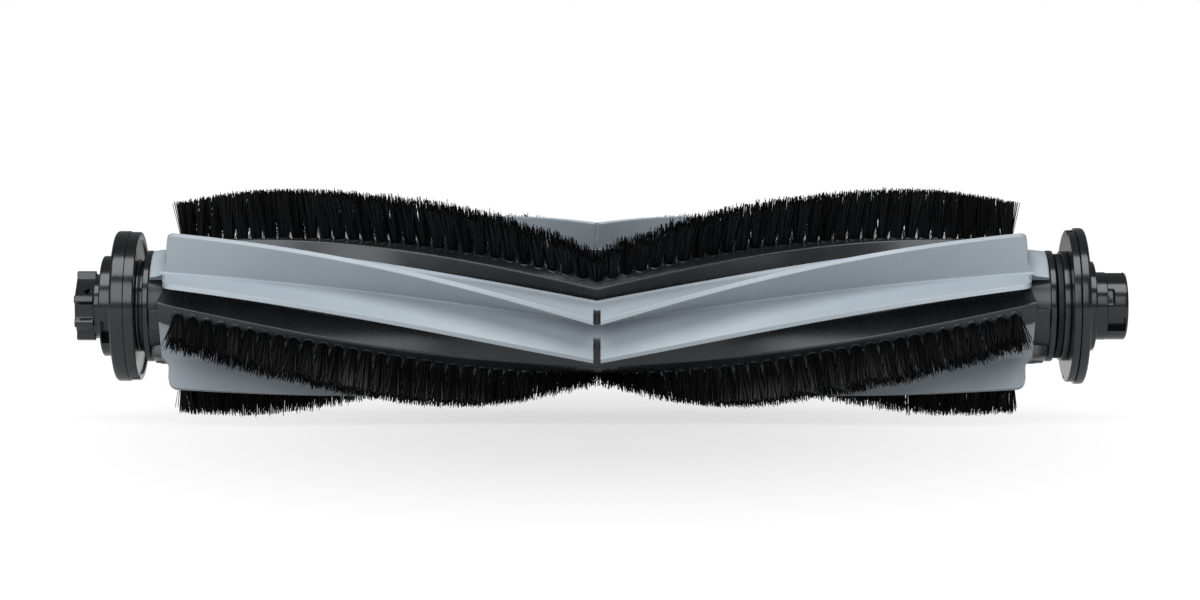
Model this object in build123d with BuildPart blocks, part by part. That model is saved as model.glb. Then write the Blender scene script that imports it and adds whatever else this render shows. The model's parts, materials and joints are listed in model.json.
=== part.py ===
"""Roller brush of a robot vacuum cleaner: twisted core, bristle rows, rubber strips and two end fittings.

The roller axis lies along X, the drive end at minus X and the bearing end at plus X, with plus Z up.
Angles round the axis start at plus Z and grow towards minus Y. All sizes are in millimetres.
"""
import os
from math import cos, pi, radians, sin, sqrt

from build123d import *

# Overall
half_core = 72.0
sections_per_half = 9

# Chevron twist of the core, seen over the length from the middle to one end
twist_reach = 70.0
ridge_twist = 79.0
lip_twist = 63.0
second_lip_twist = 50.0
single_lip_twist = 64.0
lip_bow = 0.3

# Bristle ridges on the core
row_angles = [55.0, 175.0, 255.0, 335.0]
floor_r = 8.6
wall_r = 9.8
ridge_r = 11.2
ridge_back = 13.0
ridge_front = 20.0
wall_back = 17.0
wall_front = 27.0
foot_back = 20.0
foot_front = 31.0
end_chamfer = 1.4

# Tufts
tuft_pitch = 2.4
tufts_per_half = 29
tuft_sides = 6
tuft_root_r = 0.8
tuft_tip_r = 1.16
tuft_seat_r = 8.3
tuft_exit_r = 10.76
hole_r = 0.86
hole_floor_r = 8.1
tip_r_middles = [15.5, 12.5, 13.5, 13.5]
tip_r_full = 20.0
tip_r_end = 18.2
tip_rises = [22.0, 28.0, 24.0, 24.0]
tip_fall = 22.0
lean_end = 12.0

# Rubber strips
strip_gap = 0.6
strip_floor_r = 8.66
strip_floor_steps = 4
lip_tip_r = 15.0
lip_root_half = 0.72
lip_tip_half = 0.42
double_lip_start = 85.8
double_lip_tips = [99.2, 125.8]
double_lip_valley = 105.0
double_lip_finish = 114.0
double_lip_edge = 115.5
single_lip_root = 212.5
single_lip_tip = 217.5
slot_width = 1.2
slot_floor_r = 12.0
lip_end = 70.7
lip_corner = 1.4
lip_stub = 0.1

# Necks and spigots of the core
neck_r = 8.9
neck_end = 73.8
spigot_r = 6.0
drive_spigot_end = 82.05
bearing_spigot_end = 75.7
hub_socket_r = 3.5
hub_socket_floor = 72.0
pin_r = 2.0
pin_floor = 66.0

# Rubber tabs over the necks
tab_floor_r = 9.0
tab_length = 1.7
tab_short = 6.0

# Drive end
fit = 0.02
ring_r = 9.25
ring_width = 1.0
disc_start = 77.5
disc_r = 12.5
disc_width = 2.3
rim_round = 0.45
cup_r = 12.35
cup_width = 1.7
cup_web = 0.7
cup_wall = 1.1
cup_sleeve_r = 7.6
collar_r = 8.35
collar_width = 2.25
collar_slot_angle = -30.0
collar_slot_width = 4.2
collar_slot_depth = 0.9
hub_r = 5.85
hub_root_r = 4.85
hub_neck_r = 5.2
hub_teeth = [8.0, 76.0, 120.0, 162.0, 205.0, 248.0, 291.0, 330.0]
tooth_tip_half = 5.0
tooth_root_half = 9.0
hub_step = 1.2
hub_end = 86.4
hub_recess_r = 3.2
hub_recess = 2.4
hub_hole = 1.0
hub_hole_angle = 56.0
hub_hole_floor_r = 3.9
hub_hole_back = 2.3
screw_r = 1.2
screw_floor = 62.0
screw_head = 1.2
screw_head_r = 2.4
screw_cross = 0.6

# Bearing end
bearing_ring_width = 1.8
seal_start = 75.9
seal_r = 8.7
seal_bore_r = 6.4
cap_start = 76.9
cap_collar_r = 9.15
cap_collar_width = 1.1
cap_inner_r = 12.65
cap_inner_width = 1.3
cap_notch_angle = 80.0
cap_notch_width = 1.0
cap_notch_depth = 0.8
cap_outer_r = 13.0
cap_outer_width = 1.5
flange_r = 7.45
flange_width = 1.7
sleeve_r = 5.65
sleeve_width = 1.95
nose_r = 5.4
nose_end = 87.85
nose_wall = 0.9
nose_slots = 3
nose_slot_angle = 17.0
nose_slot_width = 2.5
nose_slot_depth = 0.8
bush_r = 3.5
bush_end = 85.35
running_gap = 0.03
pin_end = 86.45
clip_start = 85.7
clip_width = 0.6
clip_r = 3.2
clip_groove_r = 1.5
clip_room_r = 3.9
washer_r = 3.4
washer_width = 0.6

os.makedirs("parts", exist_ok=True)


def turn(x, degrees):
    """Angle lost to the chevron twist at a distance x from the middle."""
    return degrees * abs(x) / twist_reach


def lip_turn(x, degrees):
    """Angle that a lip has lost at x; it sweeps a little faster near the middle than the ridges do."""
    share = abs(x) / twist_reach
    return degrees * share * (1 + lip_bow * (1 - share))


def spot(radius, angle):
    """Point of a cross section: (Y, Z) at a radius and an angle."""
    return (-radius * sin(radians(angle)), radius * cos(radians(angle)))


def half_width(length, radius):
    """Angle in degrees that a half width takes up at a radius."""
    return length / radius * 180 / pi


stations = [half_core * step / (sections_per_half - 1) for step in range(sections_per_half)]
next_angles = row_angles[1:] + [row_angles[0] + 360.0]


def core_outline(x):
    """Cross section of the core with its ridges at x."""
    points = []
    for angle, following in zip(row_angles, next_angles):
        here = angle - turn(x, ridge_twist)
        beyond = following - turn(x, ridge_twist)
        points.append(spot(floor_r, here - foot_back))
        points.append(spot(wall_r, here - wall_back))
        points.append(spot(ridge_r, here - ridge_back))
        points.append(spot(ridge_r, here + ridge_front))
        points.append(spot(wall_r, here + wall_front))
        points.append(spot(floor_r, here + foot_front))
        start = here + foot_front
        finish = beyond - foot_back
        steps = max(2, round((finish - start) / 15))
        for step in range(1, steps):
            points.append(spot(floor_r, start + (finish - start) * step / steps))
    return points


def lip_tip(x, tip, twist):
    """The two corners of a lip's tip at x."""
    tip_here = tip - lip_turn(x, twist)
    tip_half = half_width(lip_tip_half, lip_tip_r)
    return [spot(lip_tip_r, tip_here - tip_half), spot(lip_tip_r, tip_here + tip_half)]


def strip_outline(x, row):
    """Cross section at x of the rubber strip that follows a bristle row; the first strip carries two lips."""
    start = row_angles[row] - turn(x, ridge_twist)
    finish = next_angles[row] - turn(x, ridge_twist)
    points = [spot(wall_r, start + wall_front + strip_gap)]
    if row == 0:
        second_turn = lip_turn(x, second_lip_twist)
        points.append(spot(wall_r, double_lip_start - lip_turn(x, lip_twist)))
        points.extend(lip_tip(x, double_lip_tips[0], lip_twist))
        points.append(spot(wall_r, double_lip_valley - second_turn))
        points.extend(lip_tip(x, double_lip_tips[1], second_lip_twist))
        points.append(spot(wall_r, double_lip_finish - second_turn))
        points.append(spot(wall_r, double_lip_edge - second_turn))
        back = double_lip_edge - second_turn
    else:
        shift = row_angles[row] - row_angles[1]
        root_here = single_lip_root + shift - lip_turn(x, single_lip_twist)
        root_half = half_width(lip_root_half, wall_r)
        points.append(spot(wall_r, root_here - root_half))
        points.extend(lip_tip(x, single_lip_tip + shift, single_lip_twist))
        points.append(spot(wall_r, root_here + root_half))
        points.append(spot(wall_r, finish - wall_back - strip_gap))
        back = finish - foot_back - strip_gap
    front = start + foot_front + strip_gap
    for step in range(strip_floor_steps + 1):
        points.append(spot(strip_floor_r, back + (front - back) * step / strip_floor_steps))
    return points


def tip_radius(x, row):
    """Trimmed radius of a row's tufts: short in the middle and a little short at the ends."""
    away = abs(x)
    if away < tip_rises[row]:
        part = 1 - away / tip_rises[row]
        return tip_r_full - (tip_r_full - tip_r_middles[row]) * part * part
    start = tufts_per_half * tuft_pitch - tip_fall
    if away > start:
        part = (away - start) / tip_fall
        return tip_r_full - (tip_r_full - tip_r_end) * part * part
    return tip_r_full


def tuft_frame(x, row):
    """Exit point, direction and length outside the ridge of the tuft at x on a row."""
    angle = row_angles[row] - turn(x, ridge_twist)
    lean = lean_end * abs(x) / twist_reach
    near = spot(tuft_exit_r, angle)
    far = spot(tip_radius(x, row), angle + lean)
    reach = sqrt((far[0] - near[0]) ** 2 + (far[1] - near[1]) ** 2)
    way = ((far[0] - near[0]) / reach, (far[1] - near[1]) / reach)
    return near, way, reach


# Where the roller axis runs when the box round the resting part stands on the origin
low_y = 0.0
high_y = 0.0
low_z = 0.0
for row in range(len(row_angles)):
    for index in range(tufts_per_half + 1):
        near, way, reach = tuft_frame(index * tuft_pitch, row)
        tip_y = near[0] + way[0] * reach
        tip_z = near[1] + way[1] * reach
        low_y = min(low_y, tip_y - tuft_tip_r * abs(way[1]))
        high_y = max(high_y, tip_y + tuft_tip_r * abs(way[1]))
        low_z = min(low_z, tip_z - tuft_tip_r * abs(way[0]))
axis_x = (hub_end - nose_end) / 2
axis_y = -(low_y + high_y) / 2
axis_z = -low_z
roller_axis = Axis((axis_x, axis_y, axis_z), (1, 0, 0))
lengthwise = Plane(origin=(axis_x, axis_y, axis_z), x_dir=(1, 0, 0), z_dir=(0, -1, 0))


def across(x):
    """Plane square to the roller axis at x, with its own X along Y and its own Y along Z."""
    return Plane(origin=(axis_x + x, axis_y, axis_z), x_dir=(0, 1, 0), z_dir=(1, 0, 0))


def outward(distance, side):
    """Plane across the axis at a distance from the middle, facing out of one end; side is 1 or minus 1."""
    return Plane(origin=(axis_x + side * distance, axis_y, axis_z), x_dir=(0, side, 0), z_dir=(side, 0, 0))


def tuft_plane(x, row, offset):
    """Plane square to a tuft at an offset along it from the ridge surface."""
    near, way, reach = tuft_frame(x, row)
    origin = (axis_x + x, axis_y + near[0] + way[0] * offset, axis_z + near[1] + way[1] * offset)
    return Plane(origin=origin, x_dir=(1, 0, 0), z_dir=(0, way[0], way[1]))


# The core: a twisted bar with ridges, drilled for the tufts, with a neck and a spigot at each end
with BuildPart() as core_spindle:
    for x in stations:
        with BuildSketch(across(x)):
            Polygon(*core_outline(x), align=None)
    loft()
    with BuildSketch(lengthwise):
        with BuildLine():
            Polyline(
                (half_core - end_chamfer, ridge_r + 0.2),
                (half_core + 0.2, ridge_r - end_chamfer),
                (half_core + 0.2, ridge_r + 2),
                (half_core - end_chamfer, ridge_r + 2),
                close=True,
            )
        make_face()
    revolve(axis=roller_axis, mode=Mode.SUBTRACT)
    mirror(about=across(0))
    for side in (-1, 1):
        with BuildSketch(outward(half_core, side)):
            RegularPolygon(neck_r, 8, rotation=22.5)
        extrude(amount=neck_end - half_core)
    with BuildSketch(outward(neck_end, -1)):
        Circle(spigot_r)
    extrude(amount=drive_spigot_end - neck_end)
    with BuildSketch(outward(neck_end, 1)):
        Circle(spigot_r)
    extrude(amount=bearing_spigot_end - neck_end)
    with BuildSketch(outward(hub_socket_floor, -1)):
        Circle(hub_socket_r)
    extrude(amount=drive_spigot_end - hub_socket_floor, mode=Mode.SUBTRACT)
    with BuildSketch(outward(screw_floor, -1)):
        Circle(screw_r)
    extrude(amount=hub_socket_floor - screw_floor, mode=Mode.SUBTRACT)
    with BuildSketch(outward(pin_floor, 1)):
        Circle(pin_r)
    extrude(amount=bearing_spigot_end - pin_floor, mode=Mode.SUBTRACT)
    holes = []
    for row in range(len(row_angles)):
        for index in range(-tufts_per_half, tufts_per_half + 1):
            with BuildSketch(tuft_plane(index * tuft_pitch, row, hole_floor_r - tuft_exit_r)):
                RegularPolygon(hole_r, tuft_sides, rotation=30)
            holes.append(extrude(amount=ridge_r - hole_floor_r + 1.0, mode=Mode.PRIVATE))
    add(holes, mode=Mode.SUBTRACT)

core_spindle.part.label = "core_spindle"
export_step(core_spindle.part, "parts/core_spindle.step")

# Bristle rows: each half of a row is a group of tufts that flare from the ridge to their trimmed tips
for row in range(len(row_angles)):
    for half, first in (("drive", -tufts_per_half), ("bearing", 0)):
        last = -1 if half == "drive" else tufts_per_half
        with BuildPart() as bristle_row:
            tufts = []
            for index in range(first, last + 1):
                x = index * tuft_pitch
                near, way, reach = tuft_frame(x, row)
                with BuildSketch(tuft_plane(x, row, tuft_seat_r - tuft_exit_r)):
                    RegularPolygon(tuft_root_r, tuft_sides, rotation=30)
                with BuildSketch(tuft_plane(x, row, 0.6)):
                    RegularPolygon(tuft_root_r, tuft_sides, rotation=30)
                with BuildSketch(tuft_plane(x, row, reach)):
                    RegularPolygon(tuft_tip_r, tuft_sides, rotation=30)
                tufts.append(loft(ruled=True, mode=Mode.PRIVATE))
            add(tufts)
        name = f"bristle_row_{row + 1}_{half}"
        bristle_row.part.label = name
        export_step(bristle_row.part, f"parts/{name}.step")

# Rubber strips: one with two lips and three with one lip, each slit at the middle
for row in range(len(row_angles)):
    with BuildPart() as rubber_strip:
        for x in stations:
            with BuildSketch(across(x)):
                Polygon(*strip_outline(x, row), align=None)
        loft()
        with BuildSketch(lengthwise):
            with BuildLine():
                Polyline(
                    (lip_end - lip_corner, lip_tip_r + 0.2),
                    (lip_end - lip_corner * 0.3, lip_tip_r - lip_corner * 0.3),
                    (lip_end, lip_tip_r - lip_corner),
                    (lip_end, wall_r + lip_stub),
                    (half_core + 0.2, wall_r + lip_stub),
                    (half_core + 0.2, lip_tip_r + 2),
                    (lip_end - lip_corner, lip_tip_r + 2),
                    close=True,
                )
            make_face()
        revolve(axis=roller_axis, mode=Mode.SUBTRACT)
        start = row_angles[row] - turn(half_core, ridge_twist) + wall_front + 2
        finish = next_angles[row] - turn(half_core, ridge_twist) - wall_back - tab_short
        corners = []
        for step in range(7):
            corners.append(spot(wall_r, start + (finish - start) * step / 6))
        for step in range(7):
            corners.append(spot(tab_floor_r, finish + (start - finish) * step / 6))
        with BuildSketch(across(half_core)):
            Polygon(*corners, align=None)
        extrude(amount=tab_length)
        mirror(about=across(0))
        with BuildSketch(across(-slot_width / 2)):
            Circle(lip_tip_r + 2)
            Circle(slot_floor_r, mode=Mode.SUBTRACT)
        extrude(amount=slot_width, mode=Mode.SUBTRACT)
    name = f"rubber_strip_{row + 1}"
    rubber_strip.part.label = name
    export_step(rubber_strip.part, f"parts/{name}.step")

# Drive end: neck ring, guard cup, guard disc, collar, toothed hub and its screw
with BuildPart() as drive_ring:
    with BuildSketch(outward(neck_end, -1)):
        Circle(ring_r)
        Circle(spigot_r + fit, mode=Mode.SUBTRACT)
    extrude(amount=ring_width)

with BuildPart() as drive_cup:
    with BuildSketch(outward(disc_start, -1)):
        Circle(cup_r)
        Circle(spigot_r + fit, mode=Mode.SUBTRACT)
    extrude(amount=-cup_web)
    with BuildSketch(outward(disc_start - cup_web, -1)):
        Circle(cup_r)
        Circle(cup_r - cup_wall, mode=Mode.SUBTRACT)
    extrude(amount=-(cup_width - cup_web))
    with BuildSketch(outward(disc_start - cup_web, -1)):
        Circle(cup_sleeve_r)
        Circle(spigot_r + fit, mode=Mode.SUBTRACT)
    extrude(amount=-(disc_start - cup_web - neck_end - ring_width))

with BuildPart() as drive_disc:
    with BuildSketch(outward(disc_start, -1)):
        Circle(disc_r)
        Circle(spigot_r + fit, mode=Mode.SUBTRACT)
    extrude(amount=disc_width)
    rim = drive_disc.edges().filter_by(GeomType.CIRCLE).sort_by(Axis.X)[0:2].sort_by(SortBy.RADIUS)[-1]
    fillet(rim, rim_round)

collar_start = disc_start + disc_width
with BuildPart() as drive_collar:
    with BuildSketch(outward(collar_start, -1)):
        Circle(collar_r)
        Circle(spigot_r + fit, mode=Mode.SUBTRACT)
    extrude(amount=collar_width)
    with BuildSketch(outward(collar_start, -1)):
        with PolarLocations(collar_r, 2, start_angle=collar_slot_angle):
            Rectangle(collar_slot_depth * 2, collar_slot_width)
    extrude(amount=collar_width, mode=Mode.SUBTRACT)

hub_start = collar_start + collar_width
hub_points = []
for middle in hub_teeth:
    hub_points.append(spot(hub_root_r, middle - tooth_root_half))
    hub_points.append(spot(hub_r, middle - tooth_tip_half))
    hub_points.append(spot(hub_r, middle + tooth_tip_half))
    hub_points.append(spot(hub_root_r, middle + tooth_root_half))
with BuildPart() as drive_hub:
    with BuildSketch(outward(hub_socket_floor + 0.4, -1)):
        Circle(hub_socket_r - fit)
    extrude(amount=hub_start - hub_socket_floor - 0.4)
    with BuildSketch(outward(hub_start, -1)):
        Circle(hub_neck_r)
    extrude(amount=hub_step)
    with BuildSketch(across(-hub_end)):
        Polygon(*hub_points, align=None)
    extrude(amount=hub_end - hub_start - hub_step)
    with BuildSketch(outward(hub_end, -1)):
        Circle(hub_recess_r)
    extrude(amount=-hub_recess, mode=Mode.SUBTRACT)
    with BuildSketch(outward(hub_socket_floor, -1)):
        Circle(screw_r)
    extrude(amount=hub_end - hub_socket_floor, mode=Mode.SUBTRACT)
    hole_way = spot(1.0, hub_hole_angle)
    hole_middle = -hub_end + hub_hole_back
    hole_y = axis_y + hole_way[0] * hub_hole_floor_r
    hole_z = axis_z + hole_way[1] * hub_hole_floor_r
    hole_start = (axis_x + hole_middle, hole_y, hole_z)
    with BuildSketch(Plane(origin=hole_start, x_dir=(1, 0, 0), z_dir=(0, hole_way[0], hole_way[1]))):
        Rectangle(hub_hole, hub_hole, rotation=45)
    extrude(amount=hub_r, mode=Mode.SUBTRACT)

with BuildPart() as hub_screw:
    with BuildSketch(outward(hub_end - hub_recess, -1)):
        Circle(screw_head_r)
    extrude(amount=screw_head)
    with BuildSketch(outward(hub_end - hub_recess, -1)):
        Circle(screw_r)
    extrude(amount=-(hub_end - hub_recess - screw_floor - 1))
    with BuildSketch(outward(hub_end - hub_recess + screw_head, -1)):
        Rectangle(screw_head_r * 1.2, screw_cross)
        Rectangle(screw_cross, screw_head_r * 1.2)
    extrude(amount=-screw_head * 0.6, mode=Mode.SUBTRACT)

# Bearing end: neck ring and axle on the roller, then the cap that stays still in the cleaner
with BuildPart() as bearing_ring:
    with BuildSketch(outward(neck_end, 1)):
        Circle(ring_r)
        Circle(spigot_r + fit, mode=Mode.SUBTRACT)
    extrude(amount=bearing_ring_width)

with BuildPart() as axle_pin:
    with BuildSketch(outward(pin_floor, 1)):
        Circle(pin_r)
    extrude(amount=pin_end - pin_floor)
    with BuildSketch(outward(clip_start, 1)):
        Circle(pin_r + 1)
        Circle(clip_groove_r, mode=Mode.SUBTRACT)
    extrude(amount=clip_width, mode=Mode.SUBTRACT)

with BuildPart() as axle_washer:
    with BuildSketch(outward(bearing_spigot_end, 1)):
        Circle(washer_r)
        Circle(pin_r + fit, mode=Mode.SUBTRACT)
    extrude(amount=washer_width)

with BuildPart() as axle_clip:
    with BuildSketch(outward(clip_start + 0.03, 1)):
        Circle(clip_r)
        Circle(clip_groove_r + 0.02, mode=Mode.SUBTRACT)
        with Locations((clip_r / 2, 0)):
            Rectangle(clip_r + 1, clip_groove_r * 1.5, mode=Mode.SUBTRACT)
    extrude(amount=clip_width - 0.06)

with BuildPart() as bearing_seal:
    with BuildSketch(outward(seal_start, 1)):
        Circle(seal_r)
        Circle(seal_bore_r, mode=Mode.SUBTRACT)
    extrude(amount=cap_start - seal_start)

with BuildPart() as bearing_collar:
    with BuildSketch(outward(cap_start, 1)):
        Circle(cap_collar_r)
        Circle(bush_r, mode=Mode.SUBTRACT)
    extrude(amount=cap_collar_width)

inner_start = cap_start + cap_collar_width
with BuildPart() as bearing_disc_inner:
    with BuildSketch(outward(inner_start, 1)):
        Circle(cap_inner_r)
        Circle(bush_r, mode=Mode.SUBTRACT)
        with PolarLocations(cap_inner_r, 2, start_angle=cap_notch_angle):
            Rectangle(cap_notch_depth * 2, cap_notch_width, mode=Mode.SUBTRACT)
    extrude(amount=cap_inner_width)

outer_start = inner_start + cap_inner_width
with BuildPart() as bearing_disc_outer:
    with BuildSketch(outward(outer_start, 1)):
        Circle(cap_outer_r)
        Circle(bush_r, mode=Mode.SUBTRACT)
    extrude(amount=cap_outer_width)
    rim = bearing_disc_outer.edges().filter_by(GeomType.CIRCLE).sort_by(Axis.X)[-2:].sort_by(SortBy.RADIUS)[-1]
    fillet(rim, rim_round)

flange_start = outer_start + cap_outer_width
with BuildPart() as bearing_flange:
    with BuildSketch(outward(flange_start, 1)):
        Circle(flange_r)
        Circle(bush_r, mode=Mode.SUBTRACT)
    extrude(amount=flange_width)

sleeve_start = flange_start + flange_width
with BuildPart() as bearing_sleeve:
    with BuildSketch(outward(sleeve_start, 1)):
        Circle(sleeve_r)
        Circle(bush_r, mode=Mode.SUBTRACT)
    extrude(amount=sleeve_width)

nose_start = sleeve_start + sleeve_width
with BuildPart() as bearing_nose:
    with BuildSketch(outward(nose_start, 1)):
        Circle(nose_r)
    extrude(amount=nose_end - nose_start)
    with BuildSketch(outward(nose_start, 1)):
        Circle(bush_r)
    extrude(amount=bush_end - nose_start, mode=Mode.SUBTRACT)
    with BuildSketch(outward(bush_end, 1)):
        Circle(clip_room_r)
    extrude(amount=nose_end - nose_wall - bush_end, mode=Mode.SUBTRACT)
    with BuildSketch(outward(nose_end, 1)):
        with PolarLocations(nose_r, nose_slots, start_angle=nose_slot_angle):
            Rectangle(nose_slot_depth * 2, nose_slot_width)
    extrude(amount=nose_start - nose_end, mode=Mode.SUBTRACT)

with BuildPart() as bearing_bush:
    with BuildSketch(outward(cap_start, 1)):
        Circle(bush_r)
        Circle(pin_r + running_gap, mode=Mode.SUBTRACT)
    extrude(amount=bush_end - cap_start)

fittings = {
    "drive_ring": drive_ring,
    "drive_cup": drive_cup,
    "drive_disc": drive_disc,
    "drive_collar": drive_collar,
    "drive_hub": drive_hub,
    "hub_screw": hub_screw,
    "bearing_ring": bearing_ring,
    "axle_pin": axle_pin,
    "axle_washer": axle_washer,
    "axle_clip": axle_clip,
    "bearing_seal": bearing_seal,
    "bearing_collar": bearing_collar,
    "bearing_disc_inner": bearing_disc_inner,
    "bearing_disc_outer": bearing_disc_outer,
    "bearing_flange": bearing_flange,
    "bearing_sleeve": bearing_sleeve,
    "bearing_nose": bearing_nose,
    "bearing_bush": bearing_bush,
}
for name, fitting in fittings.items():
    fitting.part.label = name
    export_step(fitting.part, f"parts/{name}.step")
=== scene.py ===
import json
import random
from math import cos, pi, radians, sin, sqrt

import bpy
from mathutils import Matrix, Vector


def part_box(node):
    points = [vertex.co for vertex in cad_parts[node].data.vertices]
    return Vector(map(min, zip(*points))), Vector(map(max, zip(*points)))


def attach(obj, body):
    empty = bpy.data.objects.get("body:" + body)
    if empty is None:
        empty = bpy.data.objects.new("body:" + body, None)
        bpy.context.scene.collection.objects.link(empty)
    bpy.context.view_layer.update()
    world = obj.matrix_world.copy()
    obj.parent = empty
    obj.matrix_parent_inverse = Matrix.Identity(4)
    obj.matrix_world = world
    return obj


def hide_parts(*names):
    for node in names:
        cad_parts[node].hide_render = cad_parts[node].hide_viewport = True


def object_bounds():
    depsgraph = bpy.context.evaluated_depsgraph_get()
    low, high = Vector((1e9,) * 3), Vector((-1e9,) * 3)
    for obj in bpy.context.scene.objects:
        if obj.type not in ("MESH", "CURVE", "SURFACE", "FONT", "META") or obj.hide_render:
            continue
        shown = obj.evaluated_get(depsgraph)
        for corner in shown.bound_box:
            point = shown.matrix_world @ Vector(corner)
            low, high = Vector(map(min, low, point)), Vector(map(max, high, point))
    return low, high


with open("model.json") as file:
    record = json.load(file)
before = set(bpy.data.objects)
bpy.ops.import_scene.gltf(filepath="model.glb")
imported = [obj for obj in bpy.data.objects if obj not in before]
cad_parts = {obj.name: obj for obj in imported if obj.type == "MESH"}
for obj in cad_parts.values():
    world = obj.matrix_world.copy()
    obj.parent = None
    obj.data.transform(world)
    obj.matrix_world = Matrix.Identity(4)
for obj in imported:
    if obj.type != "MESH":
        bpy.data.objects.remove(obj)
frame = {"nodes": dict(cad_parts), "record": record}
cad_low, cad_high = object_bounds()
nodes = frame["nodes"]

# Sizes below are in millimetres and degrees, as in the part's source; MM takes them to metres.
# Angles round the axis start at plus Z and grow towards minus Y.
MM = 0.001

# Where the roller axis runs, read from the frame
disc_low, disc_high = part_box("drive_disc")
strip_low, strip_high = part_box("rubber_strip_1")
AXIS = Vector((
    (strip_low.x + strip_high.x) / 2,
    (disc_low.y + disc_high.y) / 2,
    (disc_low.z + disc_high.z) / 2,
))
SEAT = Matrix.Translation(AXIS) @ Matrix.Scale(MM, 4)

# Chevron layout, as in the solids
HALF_CORE = 72.0
TWIST_REACH = 70.0
RIDGE_TWIST = 79.0
ROW_ANGLES = [55.0, 175.0, 255.0, 335.0]
NEXT_ANGLES = [175.0, 255.0, 335.0, 415.0]
STATIONS = 24

# Tufts
TUFT_PITCH = 2.365
TUFTS_PER_HALF = 29
TUFT_EXIT_R = 10.76
TUFT_ROOT_R = 0.7
TUFT_SPREAD = 1.06
TUFT_WIDENING = 1.24
TUFT_HIGHEST = 0.95
LONG_LOWEST = 0.89
SHORT_LOWEST = 0.76
STRAY_SHARE = 0.06
STRAY_LEAN = 1.2
STRAY_HIGHEST = 0.94
STRAND_TURN = 2.39996
TUFT_SUNK = 0.5
TUFT_SHIFTS = [9.5, 9.5, 0.0, 0.0]
TUFT_SHIFT_REACH = 45.0
FILAMENT_R = 0.085
FILAMENTS = 130
TUFT_KINDS = 5
SHORT_TUFT = 5.5
TIP_R_MIDDLES = [15.9, 12.4, 13.5, 13.0]
TIP_R_FULLS = [20.0, 18.9, 20.0, 20.0]
TIP_RISES = [22.0, 32.0, 24.0, 24.0]
TIP_R_END = 18.2
TIP_FALL = 22.0
LEAN_END = 12.0
LEAN_OUT = 0.75
LEAN_OUT_FULL = 8
LEAN_OUT_FALL = 52
LEAN_OUT_FALL_REACH = 18
LEAN_OUT_FALL_RATE = 1.5
SOCKET_R = 1.12
SOCKET_RIM = 0.14

# Bristle ridges: edges as angles from the row, at the middle and at the ends of the roller
RIDGE_R = 11.2
RIDGE_FLOOR_R = 8.3
RIDGE_BACK_MIDDLE = 22.7
RIDGE_BACK_END = 8.8
RIDGE_BACK_REACH = 48.0
RIDGE_BACK_FLANK = 23.0
RIDGE_FRONT_MIDDLE = 19.7
RIDGE_FRONT_END = 7.0
RIDGE_UNDER = 4.1
RIDGE_EDGE = 0.22
RIDGE_END_R = 11.0
RIDGE_ENDS = [72.0, 72.0, 70.6, 72.0]
RIDGE_CHAMFER = 0.4
PARTING_HALF = 0.09
PARTING_RISE = 0.05

# Rubber strips
BAND_R = 9.8
BAND_FLOOR_R = 8.66
BAND_START = 27.6
BAND_TAPER = 18.0
BAND_FINISH = -17.6
LIP_TIP_R = 15.0
LIP_TIP_HALF = 1.6
LIP_ROOT_HALF = 4.2
LIP_BOW = 0.3
DOUBLE_START = 85.8
DOUBLE_TIPS = [99.2, 125.8]
DOUBLE_VALLEY = 105.0
DOUBLE_FINISH = 114.0
DOUBLE_EDGE = 115.5
DOUBLE_FLARE = 6.0
LIP_TWIST = 63.0
SECOND_LIP_TWIST = 50.0
SINGLE_LIP_ROOT = 212.5
SINGLE_LIP_TIP = 217.5
SINGLE_LIP_TWIST = 64.0
BACK_LIP_SHIFT = 5.0
BACK_LIP_REACH = 45.0
LIP_END = 70.7
LIP_CORNER = 1.4
TIP_ROUND = 0.1
ROOT_ROUND = 0.6
EDGE_ROUND = 0.3
SLOT_HALF = 0.6
SLOT_FLOOR_R = 12.0
SLOT_DEPTH = 14.0
SLOT_BACK = -7.0
DOUBLE_SLOT_ANGLE = 109.0
BACK_SLOT_HALF = 0.38
BACK_SLOT_DEPTH = 7.12
# Height over the axis below which the middle slits get painted shade
SLOT_SHADE_TOP = 8
SHOULDER_END = 73.65
BEARING_SHOULDER_END = 74.45
SHOULDER_FINISH = 58.0
NARROW_SHOULDER_START = 71.3
BARE_SHOULDER_START = 71.9
TRIM_END = 75.0
TRIM_R = 14.0

# Core ends
BAR_R = 8.6
NECK_R = 8.3
NECK_TABS = [(103.0, 1.7, 9.0), (168.0, 3.6, 9.1), (262.0, 1.7, 9.0), (318.0, 1.7, 9.0)]
NECK_END = 73.8
BEARING_NECK_END = 74.6
NECK_TAB_ROOT = 6.0
NECK_TAB_ROUND = 0.12
SPIGOT_R = 6.0
DRIVE_SPIGOT_END = 82.05
BEARING_SPIGOT_END = 75.7
BORE_R = 6.02

# Drive end, distances from the middle
RING_R = 9.25
DRIVE_RING_END = 74.8
CUP_START = 75.8
CUP_R = 12.35
CUP_WALL = 1.1
CUP_WEB = 1.4
CUP_SLEEVE_R = 7.6
CUP_SLIT_HALF = 0.35
CUP_SLIT_FLOOR = 0.35
CUP_SLIT_ANGLE = 163.0
DISC_START = 77.5
DISC_END = 79.8
DISC_R = 12.5
DISC_FACE = [(0.0, 11.2), (0.3, 10.9), (0.3, 9.0), (0.0, 8.8)]
FACE_ROUND = 0.15
COLLAR_END = 82.05
COLLAR_R = 8.35
COLLAR_SLOT_ANGLE = 120.0
COLLAR_SLOT_DEPTH = 2.2
HUB_END = 86.4
HUB_R = 5.85
HUB_ROOT_R = 4.85
HUB_NECK_R = 5.2
HUB_STEP = 1.2
HUB_TEETH = [8.0, 76.0, 120.0, 162.0, 205.0, 248.0, 291.0, 330.0]
TOOTH_TIP_HALF = 5.0
TOOTH_ROOT_HALF = 9.0
HUB_RECESS_R = 3.2
HUB_RECESS = 2.4
HUB_HOLE = 1.0
HUB_HOLE_ANGLE = 56.0
HUB_HOLE_BACK = 2.05
HUB_HOLE_FLOOR = 2.6
HUB_BORE_R = 3.0
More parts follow.
